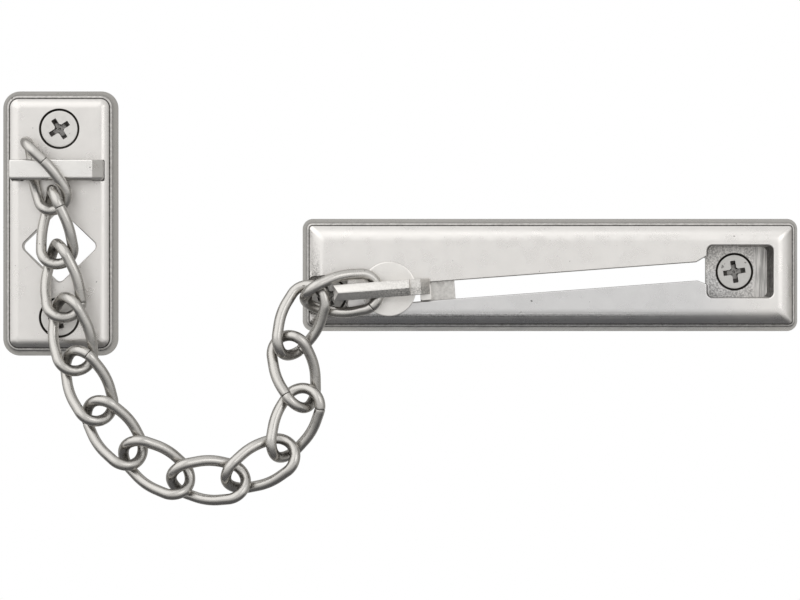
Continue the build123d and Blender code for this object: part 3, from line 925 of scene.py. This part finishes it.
# Painted shade in the groove, on the bead, in the screw seats and on the pocket's walls
shade = rim_shade(points, TRACK_CENTRE, TRACK_SIZE, TRACK_CORNER, TRACK_GROOVE)
for place in (pocket_screw, recess_place[:2]):
    shade = np.maximum(shade, seat_shade(points, place, TRACK_HEAD, POCKET_FLOOR))
mark_corners(track, "crevice", shade, wall_shade(track, pocket_place))
pocket_share = floor_share(points, pocket_place, POCKET_SIZE)
mark(track, "cast", np.maximum(pocket_share, floor_share(points, recess_place, RECESS_SIZE)))
smooth(track)
streaks_at = (pocket_place[0] + STREAKS_FROM) / 1000
track_nickel = nickel("track_nickel", TRACK_NICKEL, rough=0.3, streak_start=streaks_at)
# Painted shade on the plate below the slot
paint_shade_below_slot(track_nickel)
dress(track, track_nickel, "plates", "track_plate")
dull_nickel = nickel(
    "dull_screw_nickel", DULL_NICKEL, rough=0.4, grain=(5200, 0.3), cloud=(900, 0.08), shade=0.16, pits=0.68
)
track_finish = (dull_nickel, cross_shaded_nickel)
for end, place, turn in (("left", recess_place[:2], 20), ("right", pocket_screw, 9)):
    screw(f"track_screw_head_{end}", f"track_screw_{end}", place, TRACK_HEAD, POCKET_FLOOR, turn, track_finish)

# Slider
# One small casting, left rough: the arm stands on edge and carries the eye, a low round collar bears on the
# track's face, and behind it a stud, a neck and a foot run in the slot and behind it.
EYE = (70.49, -14.7, 11.35)
EYE_RADIUS = 2.3
EYE_POINTS = 48
EYE_EDGE = ((0, 1.1), (0.06, 1.4), (0.3, 1.75), (0.6, 2.05))
SET_UP = -1.2

ARM_HALF = 1.75
ARM_EDGE = 0.12
ARM_MID = 0.9
RIDGE_HALF = 0.12
RIDGE_FLAT = 0.1
ARM_TAIL = -9.9
ARM_STEP_AT = 6.8
ARM_STEP_SLOPE = (0.15, -0.1)
ARM_NOSE = 9.2
NOSE_REACH = (2.2, 1.9)
NOSE_RISE = 0.4
ARM_TOP = 15.0
ARM_BEVEL = 1.0
ARM_STEP = 1.5
ARM_BASE = 7.65

COLLAR_AT = 2.2
COLLAR_RADIUS = 6.0
COLLAR_BACK = 7.16
COLLAR_TOP = 8.15
COLLAR_POINTS = 72
COLLAR_BACK_EDGE = ((-0.15, 0), (-0.03, 0.04), (0, 0.14))
COLLAR_TOP_EDGE = ((0, -0.2), (-0.04, -0.07), (-0.14, -0.01), (-0.3, 0))

STUD_RADIUS = 1.84
STUD_POINTS = 40
STUD_LEVELS = (5.2, 7.8)
STUD_EDGE = 0.1
NECK_START = 9.0
NECK_END = 11.4
NECK_HEIGHT = 3.68
NECK_CORNER = 0.4
NECK_EDGE = 0.12
NECK_FOOT = 3.95
FOOT_LENGTH = 7.7
FOOT_HEIGHT = 8.0
FOOT_CORNER = 1.2
FOOT_EDGE = 0.25
FOOT_LEVELS = (3.45, 5.05)

# Painted shade inside the eye, on the collar beside the arm and on the foot behind the slot
EYE_SHADE = 0.7
COLLAR_SHADE = 0.5
FOOT_SHADE = 0.47
SHADE_MARGIN = 0.15
UPPER_CAST_AND_SHADE = 0.45
SLIDER_CREASE = 28.0
SLIDER_NICKEL = (0.71, 0.69, 0.66)


def arm_rings():
    """The arm's side view, once for each y across it. The ridge falls to either side, and with it the ends
    of the top: z = top - bevel |y| / half, the tail's slope keeping its line x - z."""
    half = np.array([RIDGE_HALF, ARM_MID, ARM_HALF - ARM_EDGE, ARM_HALF])
    across = np.concatenate([-half[::-1], half])
    fall = np.clip(np.abs(across) - RIDGE_FLAT, 0, None) * ARM_BEVEL / (ARM_HALF - RIDGE_FLAT)
    tuck = ARM_EDGE * (np.abs(across) == ARM_HALF)
    top = ARM_TOP - fall
    step = ARM_TOP - ARM_STEP
    corners = [
        (ARM_TAIL + tuck, ARM_BASE), (ARM_NOSE + NOSE_REACH[0] - tuck, ARM_BASE),
        (ARM_NOSE + NOSE_REACH[1] - tuck, COLLAR_TOP + NOSE_RISE), (ARM_NOSE - tuck, step - tuck),
        (ARM_STEP_AT + ARM_STEP_SLOPE[0], step - tuck), (ARM_STEP_AT + ARM_STEP_SLOPE[1], top - tuck),
        (ARM_TAIL + ARM_BEVEL - fall + tuck, top - tuck), (ARM_TAIL + tuck, ARM_TOP - ARM_BEVEL - tuck),
    ]
    x = np.stack([np.broadcast_to(corner[0], across.shape) for corner in corners], 1)
    z = np.stack([np.broadcast_to(corner[1], across.shape) for corner in corners], 1)
    return np.stack([x, z, np.repeat(across[:, None], len(corners), 1)], 2)


def lifted(outline, levels, edge, place):
    """Block of an outline between two heights, its edges rounded."""
    low, high = levels
    mid = MID_ROUND * edge
    profile = [
        (-edge, low), (-mid, low + mid), (0, low + edge), (0, high - edge), (-mid, high - mid), (-edge, high),
    ]
    return solid("lifted", outline_rings(outline, profile), place)


slider = upright("slider_casting", arm_rings())
collar_profile = [(COLLAR_RADIUS + out, COLLAR_BACK + up) for out, up in COLLAR_BACK_EDGE]
collar_profile += [(COLLAR_RADIUS + out, COLLAR_TOP + up) for out, up in COLLAR_TOP_EDGE]
neck_outline = box_outline(NECK_END - NECK_START, NECK_HEIGHT, NECK_CORNER)
neck_place = ((NECK_START + NECK_END) / 2, SET_UP, 0)
foot_outline = box_outline(FOOT_LENGTH, FOOT_HEIGHT, FOOT_CORNER)
foot_place = (NECK_START + FOOT_LENGTH / 2, SET_UP, 0)
parts = [
    solid("collar", turned_rings(collar_profile, COLLAR_POINTS), (COLLAR_AT, 0, 0)),
    lifted(circle(STUD_RADIUS, STUD_POINTS), STUD_LEVELS, STUD_EDGE, (COLLAR_AT, SET_UP, 0)),
    lifted(neck_outline, (NECK_FOOT, COLLAR_TOP), NECK_EDGE, neck_place),
    lifted(foot_outline, FOOT_LEVELS, FOOT_EDGE, foot_place),
]
shape_with(slider, parts, "UNION")
far_edge = np.array(EYE_EDGE)
near_edge = far_edge[::-1] * (1, -1)
eye_rings = outline_rings(circle(EYE_RADIUS, EYE_POINTS), np.vstack([near_edge, far_edge]))
shape_with(slider, [upright("eye", eye_rings, (0, 0, EYE[2]))], "DIFFERENCE")

# The casting is drawn level, with its eye over the origin, and then laid along the slot
slope = np.radians(SLOT_SLOPE)
own = drawn(slider)
x = own[:, 0] * np.cos(slope) - own[:, 1] * np.sin(slope) + EYE[0]
y = own[:, 0] * np.sin(slope) + own[:, 1] * np.cos(slope) + EYE[1]
slider.data.vertices.foreach_set("co", on_wall(np.stack([x, y, own[:, 2]], 1)).ravel())
slider.data.update()
# Painted shade inside the eye, on the collar beside the arm's tail and on the foot seen through the slot
in_eye = np.hypot(own[:, 0], own[:, 2] - EYE[2]) < EYE_RADIUS + SHADE_MARGIN
at_collar = (own[:, 2] < COLLAR_TOP + SHADE_MARGIN) & (np.abs(own[:, 1]) < ARM_HALF + 0.05)
at_collar &= own[:, 0] < COLLAR_AT
at_foot = own[:, 2] < FOOT_LEVELS[1] + 0.05
shade = np.maximum(EYE_SHADE * in_eye, COLLAR_SHADE * at_collar)
mark(slider, "crevice", np.maximum(shade, FOOT_SHADE * at_foot))
# Rough cast grain on the arm, full on its lower side: the grain is real, and the darker cast tone there is
# painted shade on the lower facet
on_arm = (own[:, 2] > COLLAR_TOP + 0.1) & (own[:, 0] > ARM_TAIL + ARM_BEVEL - HAIR)
mark(slider, "cast", on_arm * np.where(own[:, 1] < 0, 1.0, UPPER_CAST_AND_SHADE))
smooth(slider, SLIDER_CREASE)
slider_nickel = nickel(
    "slider_nickel", SLIDER_NICKEL, rough=0.34, grain=(3600, 0.15), cloud=(500, 0.06), shade=0.06
)
dress(slider, slider_nickel, "slider", "slider")

# Chain
# Thirteen links, each bent from one length of wire, butted beside one end and twisted so that the chain
# lies flat. Plated and tumbled after linking: bright on the outside, duller where the links hang, with painted
# shade there.
WIRE = 2.4
LINK_LENGTH = 18.7
LINK_WIDTH = 11.7
LINK_TWIST = -42.0
LINK_END_HALF = 3.9
LINK_END_RADIUS = 3.6
LINK_SIDE_RADIUS = 14.0
LINK_SLACK = 1.9
LINK_FIT = 0.05
CHAIN_START = (-6.3, 16.7, 10.3)

# Each link's heading, lean and roll in degrees, the step sideways and the step forwards to the next one
LINKS = [
    (-64, 4, 55, -0.3, -0.3),
    (-85, 1, 46, 0.0, 0.0),
    (-82, 6, 33, 0.3, 0.1),
    (-79, 0, 19, 0.2, 0.1),
    (-67, 0, 8, -0.2, -0.1),
    (-53, 0, 2, 0.8, -0.3),
    (-33, 0, 4, 0.9, -0.4),
    (-4, 0, 8, 1.0, -0.4),
    (27, 0, 12, 1.2, -0.3),
    (64, 0, 16, 0.6, 0.0),
    (107, 0, 14, -0.3, 0.1),
    (66, 0, 14, -1.0, 0.2),
    (7, 0, 23, 0.0, 0.0),
]

# Where each link's butt seam lies, as a share of its wire's length
LINK_SEAMS = [0.30, 0.35, 0.12, 0.62, 0.4, 0.62, 0.12, 0.62, 0.12, 0.88, 0.35, 0.6, 0.9]
PATH_POINTS = 156
ARC_POINTS = 60
WIRE_POINTS = 28
SEAM_POINTS = 13
SEAM_REACH = 0.006

# Depth and width of the seam's notch and of the soft dip beside it
SEAM_NOTCH = (0.12, 0.0018)
SEAM_DIP = (0.03, 0.006)
SEAM_SHADE_WIDTH = 0.0022
OUT_OF_ROUND = 0.012
OUT_OF_ROUND_TURNS = 9
OUTWARD = (1, 1, 0.4)
# Painted shade on the inside of each end, where the links hang in each other
HANG_SHADE = 0.62
HANG_SIDE = 0.35
HANG_ENDS = (3, 1.9)
LINK_NICKEL = (0.49, 0.475, 0.45)
LINK_SHADE_AND_SEAM_DARK = (0.06, 0.052, 0.043)


def link_path(seam):
    """Closed path through six corners, each bent to its radius, as points an equal length apart and closer
    at the seam: the round ends lie turned by the twist, the two sides bow outwards at their middle."""
    reach = (LINK_LENGTH - WIRE) / 2
    bow = (LINK_WIDTH - WIRE) / 2
    twist = np.radians(LINK_TWIST)
    up = LINK_END_HALF * np.cos(twist)
    out = LINK_END_HALF * np.sin(twist)
    corners = np.array([
        (reach, up, out), (0, bow, 0), (-reach, up, -out),
        (-reach, -up, out), (0, -bow, 0), (reach, -up, -out),
    ])
    radii = [LINK_END_RADIUS, LINK_SIDE_RADIUS, LINK_END_RADIUS] * 2
    runs = []
    for k, radius in enumerate(radii):
        back = corners[k - 1] - corners[k]
        ahead = corners[(k + 1) % len(corners)] - corners[k]
        back /= np.linalg.norm(back)
        ahead /= np.linalg.norm(ahead)
        bend = np.arccos(-back @ ahead)
        inward = (back + ahead) / np.linalg.norm(back + ahead)
        centre = corners[k] + inward * radius / np.cos(bend / 2)
        angle = np.linspace(-bend / 2, bend / 2, ARC_POINTS)[:, None]
        forward = (ahead - back) / np.linalg.norm(ahead - back)
        runs.append(centre - radius * np.cos(angle) * inward + radius * np.sin(angle) * forward)
    line = np.vstack(runs + [runs[0][:1]])
    gone = np.concatenate([[0], np.cumsum(np.linalg.norm(np.diff(line, axis=0), axis=1))])
    even = np.linspace(0, 1, PATH_POINTS, endpoint=False)
    even = even[np.abs(even - seam) > SEAM_REACH]
    at_seam = seam + SEAM_REACH * np.linspace(-1, 1, SEAM_POINTS)
    share = np.sort(np.concatenate([even, at_seam]))
    return np.stack([np.interp(share * gone[-1], gone, line[:, axis]) for axis in range(3)], 1), share


def turned(axis, degrees):
    """Rotation matrix about x (0), y (1) or z (2)."""
    c = np.cos(np.radians(degrees))
    s = np.sin(np.radians(degrees))
    plane = [k for k in range(3) if k != axis]
    matrix = np.eye(3)
    matrix[np.ix_(plane, plane)] = [[c, -s], [s, c]] if axis != 1 else [[c, s], [-s, c]]
    return matrix


def chain_walk():
    """Each link's centre: half of the inner length on from the last hanging point, which then moves
    sideways and forwards by the row's two steps. The first link starts from the inside of its own wire."""
    inner = LINK_LENGTH / 2 - WIRE - LINK_FIT - LINK_SLACK / 2
    near = LINK_LENGTH / 2 - WIRE
    point = np.array(CHAIN_START)
    centres = []
    for heading, lean, _, side, rise in LINKS:
        turn = np.radians(heading)
        tip = np.radians(lean)
        along = np.array([np.cos(turn) * np.cos(tip), np.sin(turn) * np.cos(tip), np.sin(tip)])
        across = np.array([-np.sin(turn), np.cos(turn), 0])
        centre = point + along * near
        centres.append(centre)
        point = centre + along * inner + across * side + np.array([0, 0, rise])
        near = inner
    return centres


def wire_ring(seam):
    """Tube round the closed path: point = path + r (cos a n + sin a b), where n points away from the link's
    middle, square to the path, and b is square to both. The radius dips at the butt seam, and the wire is a
    little out of round. The second result is the dark mark: full in the butt seam, and painted shade in part
    on the inside of the ends."""
    path, share = link_path(seam)
    ahead = np.roll(path, -1, 0) - np.roll(path, 1, 0)
    ahead /= np.linalg.norm(ahead, axis=1)[:, None]
    outward = path * np.array(OUTWARD)
    n = outward - (outward * ahead).sum(1)[:, None] * ahead
    n /= np.linalg.norm(n, axis=1)[:, None]
    b = np.cross(ahead, n)
    gap = (share - seam + 0.5) % 1 - 0.5
    dip = sum(depth * np.exp(-(gap / width) ** 2) for depth, width in (SEAM_NOTCH, SEAM_DIP))
    angle = np.linspace(0, 2 * np.pi, WIRE_POINTS, endpoint=False)
    oval = OUT_OF_ROUND * (1 + np.cos(2 * angle + OUT_OF_ROUND_TURNS * share[:, None]))
    radius = WIRE / 2 - dip[:, None] - oval
    ring = path[:, None] + radius[..., None] * (
        np.cos(angle)[None, :, None] * n[:, None] + np.sin(angle)[None, :, None] * b[:, None]
    )
    # Painted shade on the inside of the ends; the seam's dark line is the real butt joint
    inner = np.clip(HANG_SIDE - np.cos(angle), 0, 1)[None, :]
    reach = np.abs(path[:, 0]) / path[:, 0].max()
    ends = np.clip(reach * HANG_ENDS[0] - HANG_ENDS[1], 0, 1)[:, None]
    seam_shade = np.exp(-(gap / SEAM_SHADE_WIDTH) ** 2)[:, None] * np.ones((1, WIRE_POINTS))
    return ring, np.maximum(HANG_SHADE * inner * ends, seam_shade)


link_nickel = nickel(
    "link_nickel", LINK_NICKEL, rough=0.28, grain=(2600, 0.08), cloud=(420, 0.07), shade=0.14,
    break_up=0.75, pits=0.735, dark=LINK_SHADE_AND_SEAM_DARK,
)
for number, centre in enumerate(chain_walk()):
    heading, lean, roll, _, _ = LINKS[number]
    ring, shade = wire_ring(LINK_SEAMS[number])
    spin = turned(2, heading) @ turned(1, -lean) @ turned(0, roll)
    points = on_wall(ring @ spin.T + centre).reshape(-1, 3)
    node = f"link_{number + 1:02d}"
    link = new_piece(f"chain_{node}", points.tolist(), ring_faces(*shade.shape, closed=True).tolist())
    mark(link, "crevice", shade.ravel())
    link.data.shade_smooth()
    dress(link, link_nickel, node, node)

# Studio
# A pale floor well below, a white surround, one large soft lamp from the upper left and a smaller one from
# the right. Grey flags below, behind and at the right give the metal something to show.
SCALE = 0.22
VIEW_MIDDLE = (75.13, -16.94)
FRAME_WIDE = 800
LENS = 200.0
SENSOR = 36.0
FLOOR_AT = -0.2
FLOOR_PAINT = (0.82, 0.82, 0.81, 1)
FLOOR_ROUGH = 0.8
SKY_LIGHT = 0.6
GREY = (0.48, 0.475, 0.46)
PALE = (0.7, 0.7, 0.69)
SLATE = (0.17, 0.17, 0.175)
GLOW_SPAN = (0, 0.6)


def panel(name, corner, side, rise, near, far):
    """Flat glowing rectangle, corner + u side + v rise, that only gloss sees. Its light goes from near to
    far over the first part of v."""
    corner, side, rise = np.array([corner, side, rise], float)
    points = [corner, corner + side, corner + side + rise, corner + rise]
    piece = new_piece(name, [tuple(p) for p in points], [(0, 1, 2, 3)])
    mark(piece, "share", [0, 0, 1, 1])
    material = bpy.data.materials.new(name)
    material.use_nodes = True
    tree = material.node_tree
    tree.nodes.clear()
    along = tree.nodes.new("ShaderNodeAttribute")
    along.attribute_name = "share"
    glow = tree.nodes.new("ShaderNodeEmission")
    share = step_between(tree, along.outputs["Fac"], *GLOW_SPAN)
    feed(tree, glow.inputs["Color"], blend(tree, share, near, far))
    out = tree.nodes.new("ShaderNodeOutputMaterial")
    feed(tree, out.inputs["Surface"], glow.outputs[0])
    piece.data.materials.append(material)
    piece.visible_camera = False
    piece.visible_shadow = False
    piece.visible_diffuse = False


panel("flag_below", (-1.2, -0.8, -0.42), (2.5, 0, 0), (0, 1.12, 0), PALE, SLATE)
panel("flag_behind", (-1.2, 0.32, -0.9), (2.5, 0, 0), (0, 0, 1.9), GREY, GREY)
panel("flag_right", (0.75, -0.2, -0.6), (0, 0.5, 0), (0, 0, 1.3), GREY, GREY)

floor_corners = [(-1, -1, FLOOR_AT), (1.2, -1, FLOOR_AT), (1.2, 1, FLOOR_AT), (-1, 1, FLOOR_AT)]
floor = new_piece("floor", floor_corners, [(0, 1, 2, 3)])
floor_paint = bpy.data.materials.new("floor_paint")
floor_paint.use_nodes = True
paint = floor_paint.node_tree.nodes["Principled BSDF"]
paint.inputs["Base Color"].default_value = FLOOR_PAINT
paint.inputs["Roughness"].default_value = FLOOR_ROUGH
floor.data.materials.append(floor_paint)
floor.visible_glossy = False

# White where it is seen, also in gloss and glass, and dimmer as light on the object
world = bpy.data.worlds.new("surround")
bpy.context.scene.world = world
world.use_nodes = True
tree = world.node_tree
tree.nodes.clear()
rays = tree.nodes.new("ShaderNodeLightPath").outputs
seen = combine(tree, "MAXIMUM", rays["Is Camera Ray"], rays["Is Glossy Ray"])
shown = combine(tree, "MAXIMUM", seen, rays["Is Transmission Ray"])
sky = tree.nodes.new("ShaderNodeBackground")
extra = combine(tree, "MULTIPLY", shown, 1 - SKY_LIGHT)
feed(tree, sky.inputs["Strength"], combine(tree, "ADD", extra, SKY_LIGHT))
sky.inputs["Color"].default_value = (1, 1, 1, 1)
surround = tree.nodes.new("ShaderNodeOutputWorld")
feed(tree, surround.inputs["Surface"], sky.outputs[0])


def lamp(name, place, aim, size, watts):
    """Soft rectangular lamp that points from its place to its aim."""
    light = bpy.data.lights.new(name, "AREA")
    light.shape = "RECTANGLE"
    light.size, light.size_y = size
    light.energy = watts
    stand = bpy.data.objects.new(name, light)
    bpy.context.scene.collection.objects.link(stand)
    stand.location = place
    stand.rotation_euler = (Vector(aim) - Vector(place)).to_track_quat("-Z", "Y").to_euler()


middle = (VIEW_MIDDLE[0] / 1000, 0, VIEW_MIDDLE[1] / 1000)
lamp("soft_lamp_left", (-0.5, -0.6, 0.6), middle, (1.4, 1.4), 4)
lamp("soft_lamp_right", (0.6, -0.9, 0.3), middle, (0.5, 0.6), 1)

view_wide = FRAME_WIDE * SCALE / 1000
lens = bpy.data.cameras.new("camera")
lens.lens = LENS
lens.sensor_width = SENSOR
camera = bpy.data.objects.new("camera", lens)
bpy.context.scene.collection.objects.link(camera)
camera.location = (middle[0], -TRACK_FACE / 1000 - view_wide * LENS / SENSOR, middle[2])
camera.rotation_euler = (np.pi / 2, 0, 0)
lens.clip_start = 0.05
lens.clip_end = 10
bpy.context.scene.camera = camera
bpy.context.scene.view_settings.view_transform = "Standard"
